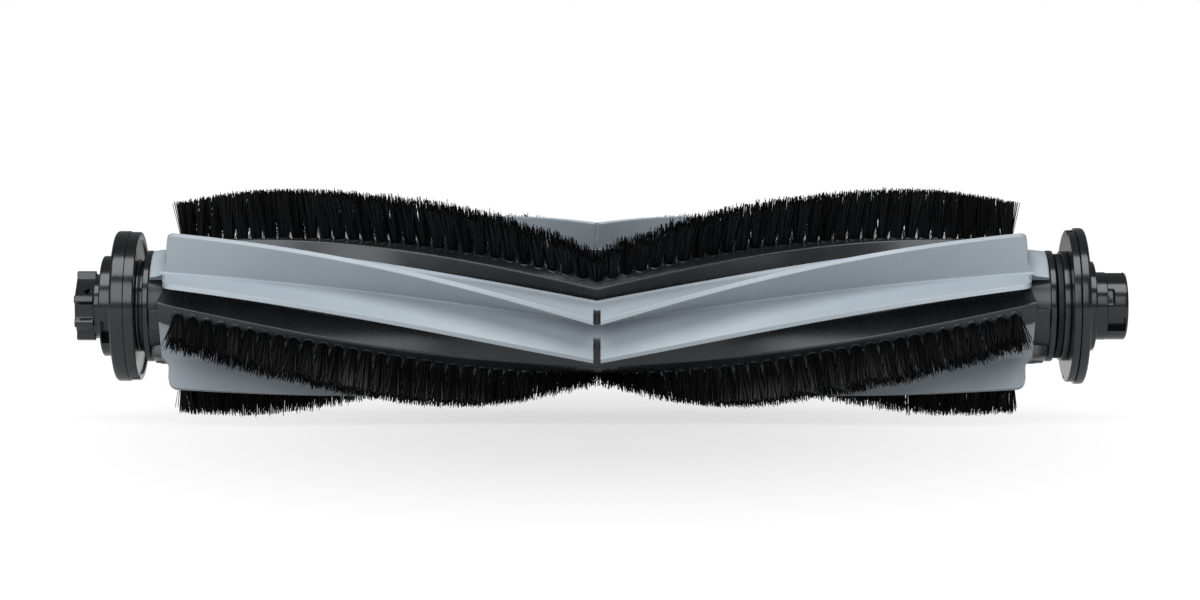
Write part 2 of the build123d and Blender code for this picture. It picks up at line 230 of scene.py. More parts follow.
SCREW_HEAD_R = 2.4
SCREW_HEAD = 1.2
SCREW_CROSS = 0.6

# Bearing end, distances from the middle
BEARING_RING_END = 75.6
SEAL_START = 75.9
SEAL_R = 8.7
SEAL_BORE_R = 6.4
CAP_START = 76.9
CAP_COLLAR_R = 9.15
CAP_INNER_START = 78.0
CAP_INNER_R = 12.65
CAP_NOTCH_ANGLES = [10.0, 190.0]
CAP_NOTCH_HALF = 0.5
CAP_NOTCH_DEPTH = 0.8
CAP_OUTER_START = 79.3
CAP_OUTER_R = 13.0
CAP_FACE = [(0.0, 11.8), (0.25, 11.5), (0.25, 9.2), (0.0, 8.9)]
FLANGE_START = 80.8
FLANGE_R = 7.45
SLEEVE_START = 82.5
SLEEVE_R = 5.65
NOSE_START = 84.45
NOSE_R = 5.6
NOSE_END = 87.85
BUSH_R = 3.5
NOSE_SLOTS = 3
NOSE_WIDE_ANGLE = 122.0
NOSE_WIDE_HALF = 1.35
NOSE_WIDE_DEPTH = 1.3
NOSE_SMALL_ANGLE = 72.0
NOSE_SMALL_HALF = 1.45
NOSE_SMALL_DEPTH = 0.6

# Camera: how wide the plane of the axis shows, and how far to the side of the axis the aim lies
FRAME_WIDTH = 200.0
CAMERA_DISTANCE = 600.0
CAMERA_ELEVATION = 2.0
AIM_RIGHT = 0.5
AIM_UP = 1.0

# Floor: its grey to the object and to the camera, and the soft shadow's reach in metres
FLOOR_GREY = (0.6, 0.6, 0.6)
FLOOR_SEEN = (0.08, 0.08, 0.08)
SHADOW_LENGTH = 0.115
SHADOW_DEPTH = 0.24
SHADOW_SHIFT = 0.1
SHADOW_DARKEST = 0.66


def ridge_turn(x):
    """Degrees that the ridges have lost to the chevron at a distance x from the middle."""
    return RIDGE_TWIST * abs(x) / TWIST_REACH


def lip_turn(x, whole):
    """Degrees that a lip has lost at x; it sweeps a little faster near the middle."""
    share = abs(x) / TWIST_REACH
    return whole * share * (1 + LIP_BOW * (1 - share))


def spot(radius, angle):
    """(Y, Z) of a cross section, from the axis."""
    return -radius * sin(radians(angle)), radius * cos(radians(angle))


def deselect():
    bpy.ops.object.select_all(action="DESELECT")


def active(piece):
    deselect()
    piece.select_set(True)
    bpy.context.view_layer.objects.active = piece


def copy_mesh(piece, matrix, name):
    """A copy of a piece with its own mesh, moved by a matrix that is applied to the mesh."""
    mesh = piece.data.copy()
    mesh.transform(matrix)
    copied = bpy.data.objects.new(name, mesh)
    bpy.context.scene.collection.objects.link(copied)
    return copied


def join(parts, name):
    deselect()
    for part in parts:
        part.select_set(True)
    bpy.context.view_layer.objects.active = parts[0]
    bpy.ops.object.join()
    joined = bpy.context.view_layer.objects.active
    joined.name = name
    joined.data.name = name
    return joined


def apply_modifier(piece, kind, **settings):
    active(piece)
    modifier = piece.modifiers.new(kind.lower(), kind)
    for setting, value in settings.items():
        setattr(modifier, setting, value)
    bpy.ops.object.modifier_apply(modifier=modifier.name)


def round_edges(piece, width, segments=3, angle=30.0):
    """Rounds every edge that is sharper than an angle."""
    apply_modifier(
        piece,
        "BEVEL",
        width=width,
        segments=segments,
        limit_method="ANGLE",
        angle_limit=radians(angle),
        harden_normals=False,
    )


def cut(piece, *cutters, operation="DIFFERENCE"):
    """Cuts a piece with other closed shapes, which are used up."""
    for cutter in cutters:
        apply_modifier(piece, "BOOLEAN", operation=operation, object=cutter, solver="EXACT")
        bpy.data.objects.remove(cutter)


def tidy_faces():
    """In edit mode: merges what meets and turns all faces outwards."""
    bpy.ops.mesh.select_all(action="SELECT")
    bpy.ops.mesh.remove_doubles(threshold=0.0005)
    bpy.ops.mesh.normals_make_consistent(inside=False)
    bpy.ops.object.mode_set(mode="OBJECT")


def draw_line(points, name):
    """A line drawn point by point; it stays in edit mode with all of it selected."""
    deselect()
    bpy.ops.mesh.primitive_plane_add(size=1)
    piece = bpy.context.object
    piece.name = name
    bpy.ops.object.mode_set(mode="EDIT")
    bpy.ops.mesh.merge(type="CENTER")
    bpy.ops.transform.translate(value=points[0])
    for here, there in zip(points, points[1:]):
        bpy.ops.mesh.extrude_vertices_move(TRANSFORM_OT_translate={"value": Vector(there) - Vector(here)})
    bpy.ops.mesh.select_all(action="SELECT")
    return piece


def rounded(corners, steps=4):
    """A closed outline with each corner (u, v, size) rounded off; points beside it keep the faces flat."""
    points = []
    for index, (u, v, size) in enumerate(corners):
        corner = Vector((u, v))
        if not size:
            points.append((u, v))
            continue
        before = Vector(corners[index - 1][:2]) - corner
        after = Vector(corners[(index + 1) % len(corners)][:2]) - corner
        first = corner + before.normalized() * min(size, before.length * 0.4)
        last = corner + after.normalized() * min(size, after.length * 0.4)
        points.append(tuple(corner + before.normalized() * min(size * 1.6, before.length * 0.48)))
        for step in range(steps + 1):
            share = step / steps
            points.append(tuple(first.lerp(corner, share).lerp(corner.lerp(last, share), share)))
        points.append(tuple(corner + after.normalized() * min(size * 1.6, after.length * 0.48)))
    return points


def lathe(profile, name, steps=96):
    """Turns a closed profile of (x, radius) points round the roller axis."""
    points = [(x, 0, radius) for x, radius in profile]
    piece = draw_line([*points, points[0]], name)
    bpy.ops.mesh.spin(steps=steps, angle=2 * pi, center=(0, 0, 0), axis=(1, 0, 0))
    tidy_faces()
    return piece


def block(points, way, name):
    """A flat outline, extruded by a vector into a closed block."""
    piece = draw_line(points, name)
    bpy.ops.mesh.edge_face_add()
    bpy.ops.mesh.extrude_region_move(TRANSFORM_OT_translate={"value": way})
    tidy_faces()
    return piece


def loft(outline_at, reach, name, steps=STATIONS):
    """An outline of (Y, Z) points, extruded outwards from the middle and reshaped at each step."""
    first = [Vector(point) for point in outline_at(0.0)]
    piece = draw_line([(0.0, *point) for point in first], name)
    bpy.ops.mesh.edge_face_add()
    step = reach / steps
    for index in range(steps):
        bpy.ops.mesh.extrude_region_move(TRANSFORM_OT_translate={"value": (step, 0, 0)})
    bpy.ops.object.mode_set(mode="OBJECT")
    outlines = [outline_at(step * index) for index in range(steps + 1)]
    for vertex in piece.data.vertices:
        number = min(range(len(first)), key=lambda index: (first[index] - vertex.co.yz).length)
        vertex.co.y, vertex.co.z = outlines[round(vertex.co.x / step)][number]
    active(piece)
    bpy.ops.object.mode_set(mode="EDIT")
    tidy_faces()
    return piece


def box_cutter(low, high, name="box_cutter"):
    """A box between two corners."""
    turns = ((low, low), (high, low), (high, high), (low, high))
    points = [(first[0], second[1], low[2]) for first, second in turns]
    return block(points, (0, 0, high[2] - low[2]), name)


def select_faces(piece, wanted):
    """Opens a piece in edit mode with only the wanted faces selected."""
    active(piece)
    bpy.ops.object.mode_set(mode="EDIT")
    bpy.ops.mesh.select_mode(type="FACE")
    bpy.ops.mesh.select_all(action="DESELECT")
    bpy.ops.object.mode_set(mode="OBJECT")
    for face in piece.data.polygons:
        face.select = wanted(face)
    bpy.ops.object.mode_set(mode="EDIT")


def both_ends(piece, joined=True):
    """Mirrors a half about the middle of the roller, opening it there first where the halves join."""
    if joined:
        select_faces(piece, lambda face: abs(face.center.x) < 0.0005 and abs(face.normal.x) > 0.9)
        bpy.ops.mesh.delete(type="FACE")
        bpy.ops.mesh.select_mode(type="VERT")
        bpy.ops.object.mode_set(mode="OBJECT")
    apply_modifier(piece, "MIRROR", use_axis=(True, False, False), merge_threshold=0.0005)
    active(piece)
    bpy.ops.object.mode_set(mode="EDIT")
    tidy_faces()


def turn_about_axis(piece, angle):
    piece.data.transform(Matrix.Rotation(radians(angle), 4, "X"))


def settle(piece, body, slot, material, *replaced, smooth=35.0):
    """Brings a finished piece to its place and gives it its material, body and the solids it stands for."""
    piece.data.transform(SEAT)
    active(piece)
    bpy.ops.object.shade_smooth_by_angle(angle=radians(smooth))
    piece.data.materials.clear()
    piece.data.materials.append(material)
    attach(piece, body)
    if replaced:
        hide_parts(*replaced)


# Shared effects


def new_group(name, inputs, outputs):
    group = bpy.data.node_groups.new(name, "ShaderNodeTree")
    for label, value in inputs:
        socket = group.interface.new_socket(label, in_out="INPUT", socket_type="NodeSocketFloat")
        socket.default_value = value
    for label, kind in outputs:
        group.interface.new_socket(label, in_out="OUTPUT", socket_type=kind)
    return group, group.nodes.new("NodeGroupInput"), group.nodes.new("NodeGroupOutput")


def work_out(parts, links, operation, *terms):
    """The result of a sum; each term is a number or an output."""
    node = parts.new("ShaderNodeMath")
    node.operation = operation
    for socket, term in zip(node.inputs, terms):
        if isinstance(term, (int, float)):
            socket.default_value = term
        else:
            links.new(term, socket)
    return node.outputs[0]


def patchy_group():
    """A value that wanders between two limits over patches of a given size in millimetres."""
    group, given, result = new_group(
        "patchy",
        [("Size", 10.0), ("Low", 0.0), ("High", 1.0)],
        [("Value", "NodeSocketFloat")],
    )
    parts, links = group.nodes, group.links
    place = parts.new("ShaderNodeTexCoord")
    density = work_out(parts, links, "DIVIDE", 1 / MM, given.outputs["Size"])
    noise = parts.new("ShaderNodeTexNoise")
    noise.inputs["Detail"].default_value = 4.0
    links.new(place.outputs["Object"], noise.inputs["Vector"])
    links.new(density, noise.inputs["Scale"])
    spread = parts.new("ShaderNodeMapRange")
    spread.inputs["From Min"].default_value = 0.3
    spread.inputs["From Max"].default_value = 0.7
    links.new(noise.outputs["Fac"], spread.inputs["Value"])
    links.new(given.outputs["Low"], spread.inputs["To Min"])
    links.new(given.outputs["High"], spread.inputs["To Max"])
    links.new(spread.outputs["Result"], result.inputs["Value"])
    return group


def mould_skin_group():
    """Fine moulded grain over slower waves, as a normal; sizes in millimetres."""
    group, given, result = new_group(
        "mould_skin",
        [("Grain", 0.3), ("Grain depth", 0.004), ("Wave", 6.0), ("Wave depth", 0.02)],
        [("Normal", "NodeSocketVector")],
    )
    parts, links = group.nodes, group.links
    place = parts.new("ShaderNodeTexCoord")
    normal = None
    for size, depth, detail in (("Wave", "Wave depth", 1.0), ("Grain", "Grain depth", 3.0)):
        density = work_out(parts, links, "DIVIDE", 1 / MM, given.outputs[size])
        noise = parts.new("ShaderNodeTexNoise")
        noise.inputs["Detail"].default_value = detail
        links.new(place.outputs["Object"], noise.inputs["Vector"])
        links.new(density, noise.inputs["Scale"])
        height = work_out(parts, links, "MULTIPLY", given.outputs[depth], MM)
        bump = parts.new("ShaderNodeBump")
        links.new(noise.outputs["Fac"], bump.inputs["Height"])
        links.new(height, bump.inputs["Distance"])
        if normal:
            links.new(normal, bump.inputs["Normal"])
        normal = bump.outputs["Normal"]
    links.new(normal, result.inputs["Normal"])
    return group


def reach_group():
    """Distance from the roller axis in millimetres."""
    group, _, result = new_group("reach_from_axis", [], [("Reach", "NodeSocketFloat")])
    parts, links = group.nodes, group.links
    place = parts.new("ShaderNodeTexCoord")
    centred = parts.new("ShaderNodeVectorMath")
    centred.operation = "SUBTRACT"
    centred.inputs[1].default_value = AXIS
    links.new(place.outputs["Object"], centred.inputs[0])
    flat = parts.new("ShaderNodeVectorMath")
    flat.operation = "MULTIPLY"
    flat.inputs[1].default_value = (0, 1 / MM, 1 / MM)
    links.new(centred.outputs["Vector"], flat.inputs[0])
    length = parts.new("ShaderNodeVectorMath")
    length.operation = "LENGTH"
    links.new(flat.outputs["Vector"], length.inputs[0])
    links.new(length.outputs["Value"], result.inputs["Reach"])
    return group


def flecks_group():
    """Mask of sparse small flecks, such as dust, a few tenths of a millimetre across."""
    group, given, result = new_group(
        "flecks", [("Spacing", 1.6), ("Fleck", 0.09)], [("Mask", "NodeSocketFloat")]
    )
    parts, links = group.nodes, group.links
    place = parts.new("ShaderNodeTexCoord")
    density = work_out(parts, links, "DIVIDE", 1 / MM, given.outputs["Spacing"])
    cells = parts.new("ShaderNodeTexVoronoi")
    links.new(place.outputs["Object"], cells.inputs["Vector"])
    links.new(density, cells.inputs["Scale"])
    near = work_out(parts, links, "LESS_THAN", cells.outputs["Distance"], given.outputs["Fleck"])
    links.new(near, result.inputs["Mask"])
    return group


PATCHY = patchy_group()
MOULD_SKIN = mould_skin_group()
REACH = reach_group()
FLECKS = flecks_group()


# Finishes


def new_material(name):
    material = bpy.data.materials.new(name)
    material.use_nodes = True
    return material, material.node_tree.nodes, material.node_tree.links


def use(parts, group, **settings):
    """A group set into a material with its settings; underscores stand for spaces."""
    placed = parts.new("ShaderNodeGroup")
    placed.node_tree = group
    for setting, value in settings.items():
        placed.inputs[setting.replace("_", " ")].default_value = value
    return placed


def blend(parts, links, factor, low, high):
    """A colour between two, each given as a colour or an output."""
    mix = parts.new("ShaderNodeMix")
    mix.data_type = "RGBA"
    links.new(factor, mix.inputs[0])
    for socket, colour in ((mix.inputs[6], low), (mix.inputs[7], high)):
        if isinstance(colour, tuple):
            socket.default_value = (*colour, 1)
        else:
            links.new(colour, socket)
    return mix.outputs[2]


def rise(parts, links, value, start, finish, low=0.0, high=1.0):
    """A value carried smoothly from low to high between start and finish."""
    ramp = parts.new("ShaderNodeMapRange")
    ramp.interpolation_type = "SMOOTHSTEP"
    ramp.inputs["From Min"].default_value = start
    ramp.inputs["From Max"].default_value = finish
    ramp.inputs["To Min"].default_value = low
    ramp.inputs["To Max"].default_value = high
    links.new(value, ramp.inputs["Value"])
    return ramp.outputs["Result"]


def grey_elastomer():
    """Matt bluish grey rubber: faint cloudiness, a painted highlight along the lip tips for light catching
    and passing through the thin edges, dust flecks, and painted shade in the middle slits.
    """
    material, parts, links = new_material("grey_elastomer")
    shader = parts["Principled BSDF"]
    cloud = use(parts, PATCHY, Size=14.0, Low=0.0, High=1.0)
    body = blend(parts, links, cloud.outputs["Value"], RUBBER_DEEP, RUBBER_LIGHT)
    reach = use(parts, REACH)
    # Painted highlight: the colour is lightened towards a pale grey on the lip tips, more than 14.7 mm from
    # the axis.
    edge = rise(parts, links, reach.outputs["Reach"], 14.7, 14.95, 0.0, 0.06)
    tip_highlighted = blend(parts, links, edge, body, RUBBER_TIP_HIGHLIGHT)
    dust = use(parts, FLECKS, Spacing=1.9, Fleck=0.06)
    thin = work_out(parts, links, "MULTIPLY", dust.outputs["Mask"], 0.35)
    dusty = blend(parts, links, thin, tip_highlighted, RUBBER_DUST)
    # Painted shade: within a slit's width at the middle, beyond the slit floor's radius and lower than 8 mm
    # above the axis, the colour is darkened towards near-black.
    place = parts.new("ShaderNodeTexCoord")
    apart = parts.new("ShaderNodeSeparateXYZ")
    links.new(place.outputs["Object"], apart.inputs["Vector"])
    slot = work_out(parts, links, "COMPARE", apart.outputs["X"], AXIS.x, (SLOT_HALF + 0.005) * MM)
    front = work_out(parts, links, "LESS_THAN", apart.outputs["Z"], AXIS.z + SLOT_SHADE_TOP * MM)
    within = work_out(parts, links, "MULTIPLY", slot, front)
    wall = rise(parts, links, reach.outputs["Reach"], SLOT_FLOOR_R - 0.5, SLOT_FLOOR_R)
    deep = work_out(parts, links, "MULTIPLY", within, wall)
    links.new(blend(parts, links, deep, dusty, SLOT_PAINTED_SHADE), shader.inputs["Base Color"])
    rough = use(parts, PATCHY, Size=3.0, Low=0.42, High=0.56)
    links.new(rough.outputs["Value"], shader.inputs["Roughness"])
    shader.inputs["Specular IOR Level"].default_value = 0.45
    skin = use(parts, MOULD_SKIN, Grain=0.22, Grain_depth=0.004, Wave=7.0, Wave_depth=0.05)
    links.new(skin.outputs["Normal"], shader.inputs["Normal"])
    return material


def black_moulding(name, deep, worn, rough_low, rough_high, grain, wave_depth, shine):
    """Black moulded plastic: paler and rougher in patches, with a fine skin and a few dust flecks."""
    material, parts, links = new_material(name)
    shader = parts["Principled BSDF"]
    cloud = use(parts, PATCHY, Size=5.0, Low=0.0, High=1.0)
    body = blend(parts, links, cloud.outputs["Value"], deep, worn)
    dust = use(parts, FLECKS, Spacing=1.3, Fleck=0.06)
    thin = work_out(parts, links, "MULTIPLY", dust.outputs["Mask"], 0.12)
    links.new(blend(parts, links, thin, body, DUST_GREY), shader.inputs["Base Color"])
    rough = use(parts, PATCHY, Size=1.4, Low=rough_low, High=rough_high)
    links.new(rough.outputs["Value"], shader.inputs["Roughness"])
    shader.inputs["Specular IOR Level"].default_value = shine
    shader.inputs["Specular Tint"].default_value = (0.9, 0.95, 1.0, 1.0)
    skin = use(parts, MOULD_SKIN, Grain=grain, Grain_depth=0.0012, Wave=4.0, Wave_depth=wave_depth)
    links.new(skin.outputs["Normal"], shader.inputs["Normal"])
    return material


def nylon_filament():
    """Black nylon: each filament a little different in depth and shine."""
    material, parts, links = new_material("nylon_filament")
    shader = parts["Principled BSDF"]
    strand = parts.new("ShaderNodeNewGeometry")
    each = strand.outputs["Random Per Island"]
    links.new(blend(parts, links, each, NYLON_DEEP, NYLON_LIGHT), shader.inputs["Base Color"])
    links.new(rise(parts, links, each, 0.0, 1.0, 0.3, 0.56), shader.inputs["Roughness"])
    shader.inputs["Specular IOR Level"].default_value = 0.2
    return material


def turned_metal(name, low, high, roughness):
    """Turned metal, patchy in tone and roughness, with a fine grain."""
    material, parts, links = new_material(name)
    shader = parts["Principled BSDF"]
    shader.inputs["Metallic"].default_value = 1
    cloud = use(parts, PATCHY, Size=1.2, Low=0.0, High=1.0)
    links.new(blend(parts, links, cloud.outputs["Value"], low, high), shader.inputs["Base Color"])
    rough = use(parts, PATCHY, Size=0.5, Low=roughness - 0.06, High=roughness + 0.08)
    links.new(rough.outputs["Value"], shader.inputs["Roughness"])
    skin = use(parts, MOULD_SKIN, Grain=0.12, Grain_depth=0.002, Wave=1.0, Wave_depth=0.002)
    links.new(skin.outputs["Normal"], shader.inputs["Normal"])
    return material


RUBBER_DEEP = (0.258, 0.298, 0.332)
RUBBER_LIGHT = (0.288, 0.33, 0.364)
# Painted highlight colour for the lip tips
RUBBER_TIP_HIGHLIGHT = (0.43, 0.47, 0.5)
RUBBER_DUST = (0.6, 0.62, 0.64)
# Painted shade colour for the walls of the middle slits
SLOT_PAINTED_SHADE = (0.02, 0.022, 0.024)
DUST_GREY = (0.3, 0.3, 0.3)
NYLON_DEEP = (0.0015, 0.0015, 0.0018)
NYLON_LIGHT = (0.0045, 0.0046, 0.005)
CORE_DEEP = (0.009, 0.0095, 0.0102)
CORE_WORN = (0.016, 0.0166, 0.0178)
END_DEEP = (0.004, 0.0043, 0.005)
END_WORN = (0.008, 0.0086, 0.0098)
SEAL_DEEP = (0.003, 0.0032, 0.0036)
SEAL_WORN = (0.006, 0.0062, 0.0068)
GREY_RUBBER = grey_elastomer()
CORE_BLACK = black_moulding("satin_black_core", CORE_DEEP, CORE_WORN, 0.26, 0.29, 0.7, 0.008, 0.48)
END_BLACK = black_moulding("gloss_black_ends", END_DEEP, END_WORN, 0.15, 0.19, 0.6, 0.01, 0.5)
SEAL_DARK = black_moulding("matt_dark_seal", SEAL_DEEP, SEAL_WORN, 0.5, 0.62, 0.25, 0.02, 0.3)
FILAMENT_BLACK = nylon_filament()
STEEL = turned_metal("turned_steel", (0.5, 0.5, 0.51), (0.66, 0.66, 0.67), 0.3)
BRONZE = turned_metal("sintered_bronze", (0.46, 0.33, 0.17), (0.6, 0.44, 0.25), 0.42)

FINISHES = {
    "black_plastic": CORE_BLACK,
    "end_plastic": END_BLACK,
    "bristle": FILAMENT_BLACK,
    "grey_rubber": GREY_RUBBER,
    "seal_rubber": SEAL_DARK,
    "steel": STEEL,
    "bronze": BRONZE,
}
for entry in frame["record"]["subparts"]:
    node = nodes[entry["node"]]
    node.data.materials.clear()
    node.data.materials.append(FINISHES[entry["material_slot"]])


# Bristles: one filament, gathered into a few kinds of tuft, set along the ridges


def tip_radius(x, row):
    """Trimmed radius of a row's tufts: short in the middle and a little short at the ends."""
    away = abs(x)
    full = TIP_R_FULLS[row]
    if away < TIP_RISES[row]:
        part = 1 - away / TIP_RISES[row]
        return full - (full - TIP_R_MIDDLES[row]) * part * part
    start = TUFTS_PER_HALF * TUFT_PITCH - TIP_FALL
    if away > start:
        part = (away - start) / TIP_FALL
        return full - (full - TIP_R_END) * part * part
    return full


def make_filament():
    """One filament of unit height, in millimetres across."""
    deselect()
    bpy.ops.mesh.primitive_cone_add(
        vertices=3, radius1=FILAMENT_R, radius2=FILAMENT_R * 0.8, depth=1, location=(0, 0, 0.5)
    )
    filament = bpy.context.object
    bpy.ops.object.transform_apply(location=True, rotation=False, scale=False)
    bpy.ops.object.mode_set(mode="EDIT")
    for height in (0.18, 0.5):
        bpy.ops.mesh.select_all(action="SELECT")
        bpy.ops.mesh.bisect(plane_co=(0, 0, height), plane_no=(0, 0, 1))
    bpy.ops.object.mode_set(mode="OBJECT")
    return filament


def make_tuft(filament, kind, lowest):
    """A tuft of unit height: filaments close at the root that open out evenly and end raggedly."""
    chance = random.Random(40 + kind)
    strands = []
    for index in range(FILAMENTS):
        ring = sqrt((index + 0.5) / FILAMENTS)
        bearing = index * STRAND_TURN + chance.uniform(-0.3, 0.3)
        root = Vector((TUFT_ROOT_R * ring * cos(bearing), TUFT_ROOT_R * ring * sin(bearing), 0))
        lean = root * (TUFT_SPREAD / TUFT_ROOT_R)
        lean += Vector((chance.gauss(0, 0.24), chance.gauss(0, 0.26), 0))
        lean.x *= TUFT_WIDENING
        height = chance.uniform(lowest, TUFT_HIGHEST)
        if chance.random() < STRAY_SHARE:
            lean.x += chance.uniform(-STRAY_LEAN, STRAY_LEAN)
            height = chance.uniform(lowest - 0.1, STRAY_HIGHEST)
        spin = Matrix.Rotation(chance.uniform(0, 2 * pi), 4, "Z")
        strand = copy_mesh(filament, spin, "strand")
        for vertex in strand.data.vertices:
            share = max(vertex.co.z, 0.0)
            vertex.co.z = share * height
            vertex.co += root + lean * share
        strands.append(strand)
    return join(strands, f"tuft_kind_{kind}")


def tuft_angle(x, row):
    """Angle of a tuft's hole; towards the middle the holes run nearer to the front edge of the ridge."""
    shift = TUFT_SHIFTS[row] * max(0.0, 1 - abs(x) / TUFT_SHIFT_REACH) ** 2
    return ROW_ANGLES[row] + shift - ridge_turn(x)


def tuft_matrix(x, row, chance):
    """Where a tuft stands: root in its hole, axis leaning, stretched to its trimmed length."""
    angle = tuft_angle(x, row)
    lean = LEAN_END * abs(x) / TWIST_REACH + chance.gauss(0, 0.5)
    near = Vector((0, *spot(TUFT_EXIT_R, angle)))
    far = Vector((0, *spot(tip_radius(x, row), ROW_ANGLES[row] - ridge_turn(x) + lean)))
    way = (far - near).normalized()
    reach = (far - near).length + TUFT_SUNK
    outward = LEAN_OUT * min(abs(x) / LEAN_OUT_FULL, 1) * (1 if x > 0 else -1)
    outward *= 1 - LEAN_OUT_FALL_RATE * max(0.0, (abs(x) - LEAN_OUT_FALL) / LEAN_OUT_FALL_REACH)
    along = Vector((outward + chance.gauss(0, 0.06), 0, 0)) + way * reach
    side = way.cross(Vector((1, 0, 0)))
    root = near - way * TUFT_SUNK + Vector((x, 0, 0))
    columns = (Vector((1, 0, 0)), side, along, root)
    return Matrix([[column[axis] for column in columns] for axis in range(3)] + [[0, 0, 0, 1]])


def bristle_rows():
    filament = make_filament()
    long_kinds = [make_tuft(filament, kind, LONG_LOWEST) for kind in range(TUFT_KINDS)]
    short_kinds = [make_tuft(filament, TUFT_KINDS + kind, SHORT_LOWEST) for kind in range(TUFT_KINDS)]
    chance = random.Random(19)
    for row in range(len(ROW_ANGLES)):
        for half in ("drive", "bearing"):
            first, last = (-TUFTS_PER_HALF, -1) if half == "drive" else (0, TUFTS_PER_HALF)
            tufts = []
            for index in range(first, last + 1):
                x = index * TUFT_PITCH
                short = tip_radius(x, row) - TUFT_EXIT_R < SHORT_TUFT
                seed = chance.choice(short_kinds if short else long_kinds)
                tufts.append(copy_mesh(seed, tuft_matrix(x, row, chance), "tuft"))
            name = f"bristle_row_{row + 1}_{half}"
            bristles = join(tufts, f"{name}_filaments")
            settle(bristles, "roller", "bristle", FILAMENT_BLACK, name)
    for seed in [filament, *long_kinds, *short_kinds]:
        bpy.data.objects.remove(seed)


# Core: moulded bar with its ridges, tuft sockets, parting line, necks and spigots


def end_envelope(radius, end_radius, end, corner, name):
    """A turned body that trims the ends of what lies inside it."""
    drop = radius - end_radius
    side = [
        (end - corner, radius),
        (end - corner * 0.45, end_radius + drop * 0.87),
        (end - corner * 0.12, end_radius + drop * 0.5),
        (end, end_radius),
        (end - 0.7, BAR_R),
        (end - 0.8, 0.0),
    ]
    return lathe([(-x, reach) for x, reach in reversed(side)] + side, name, steps=64)


def make_socket():
    """The low rim round a tuft hole."""
    deselect()
    bpy.ops.mesh.primitive_cylinder_add(vertices=10, radius=SOCKET_R, depth=SOCKET_RIM * 2)
    socket = bpy.context.object
    select_faces(socket, lambda face: face.normal.z > 0.9)
    bpy.ops.mesh.inset(thickness=0.12)
    bpy.ops.transform.translate(value=(0, 0, SOCKET_RIM * 0.5))
    bpy.ops.mesh.inset(thickness=0.1)
    bpy.ops.transform.translate(value=(0, 0, -SOCKET_RIM * 2))
    bpy.ops.mesh.select_mode(type="VERT")
    bpy.ops.object.mode_set(mode="OBJECT")
    return socket


def socket_matrix(x, row):
    """On the ridge's round face, square to it."""
    angle = tuft_angle(x, row)
    return Matrix.Translation((x, *spot(RIDGE_R, angle))) @ Matrix.Rotation(radians(angle), 4, "X")


def ridge_outline(x, row, raised=0.0):
    """Cross section of a ridge at x: a round top between two edges, with a flank on each side."""
    middle = ROW_ANGLES[row] - ridge_turn(x)
    share = min(abs(x) / HALF_CORE, 1.0)
    near = max(0.0, 1 - abs(x) / RIDGE_BACK_REACH) ** 2
    back = middle - RIDGE_BACK_END - (RIDGE_BACK_MIDDLE - RIDGE_BACK_END) * near
    front = middle + RIDGE_FRONT_MIDDLE + (RIDGE_FRONT_END - RIDGE_FRONT_MIDDLE) * share
    back_foot = back - RIDGE_BACK_FLANK
    front_foot = middle + BAND_START + RIDGE_UNDER - BAND_TAPER * share ** 3
    top = RIDGE_R + raised
    corners = [(RIDGE_FLOOR_R, back_foot, 0), (top, back, RIDGE_EDGE)]
    corners += [(top, back + (front - back) * step / 7, 0) for step in range(1, 7)]
    corners += [(top, front, RIDGE_EDGE), (RIDGE_FLOOR_R, front_foot, 0)]
    corners += [(RIDGE_FLOOR_R, front_foot + (back_foot - front_foot) * step / 7, 0) for step in range(1, 7)]
    return rounded([(*spot(radius, angle), size) for radius, angle, size in corners], steps=3)


def core_moulding():
    pieces = []
    for row in range(len(ROW_ANGLES)):
        ridge = loft(lambda x: ridge_outline(x, row), HALF_CORE + 0.1, f"ridge_{row + 1}")
        both_ends(ridge)
        trim = end_envelope(RIDGE_R + 0.2, RIDGE_END_R, RIDGE_ENDS[row], RIDGE_CHAMFER, "ridge_trim")
        cut(ridge, trim, operation="INTERSECT")
        pieces.append(ridge)
        seam_name = f"parting_line_{row + 1}"
        seam = loft(lambda x: ridge_outline(x, row, PARTING_RISE), PARTING_HALF, seam_name, steps=1)
        both_ends(seam)
        pieces.append(seam)
    bar = lathe(
        [
            (-DRIVE_SPIGOT_END, 0.0),
            (-DRIVE_SPIGOT_END, SPIGOT_R),
            (-NECK_END, SPIGOT_R),
            (-NECK_END, NECK_R),
            (-NECK_END + 0.5, NECK_R - 0.1),
            (-HALF_CORE + 0.4, NECK_R - 0.35),
            (-HALF_CORE + 0.8, BAR_R),
            (HALF_CORE - 0.8, BAR_R),
            (HALF_CORE - 0.4, NECK_R - 0.35),
            (BEARING_NECK_END - 0.5, NECK_R - 0.1),
            (BEARING_NECK_END, NECK_R),
            (BEARING_NECK_END, SPIGOT_R),
            (BEARING_SPIGOT_END, SPIGOT_R),
            (BEARING_SPIGOT_END, 0.0),
        ],
        "moulded_bar",
    )
    pieces.append(bar)
    for side, end in ((-1, NECK_END), (1, BEARING_NECK_END)):
        for angle, half, top in NECK_TABS:
            ends = sorted((side * (HALF_CORE - 0.9), side * (end - NECK_TAB_ROUND)))
            tab = box_cutter((ends[0], -half, NECK_TAB_ROOT), (ends[1], half, top), "neck_tab")
            round_edges(tab, NECK_TAB_ROUND)
            turn_about_axis(tab, angle)
            pieces.append(tab)
    socket = make_socket()
    for row in range(len(ROW_ANGLES)):
        for index in range(-TUFTS_PER_HALF, TUFTS_PER_HALF + 1):
            pieces.append(copy_mesh(socket, socket_matrix(index * TUFT_PITCH, row), "socket"))
    bpy.data.objects.remove(socket)
    settle(join(pieces, "core_moulding"), "roller", "black_plastic", CORE_BLACK, "core_spindle")


# Rubber strips: a band between two ridges with one or two lips, and a shoulder over each neck


def tip_corners(tip):
    """The two corners of a lip's tip."""
    return [(LIP_TIP_R, tip - LIP_TIP_HALF, TIP_ROUND), (LIP_TIP_R, tip + LIP_TIP_HALF, TIP_ROUND)]


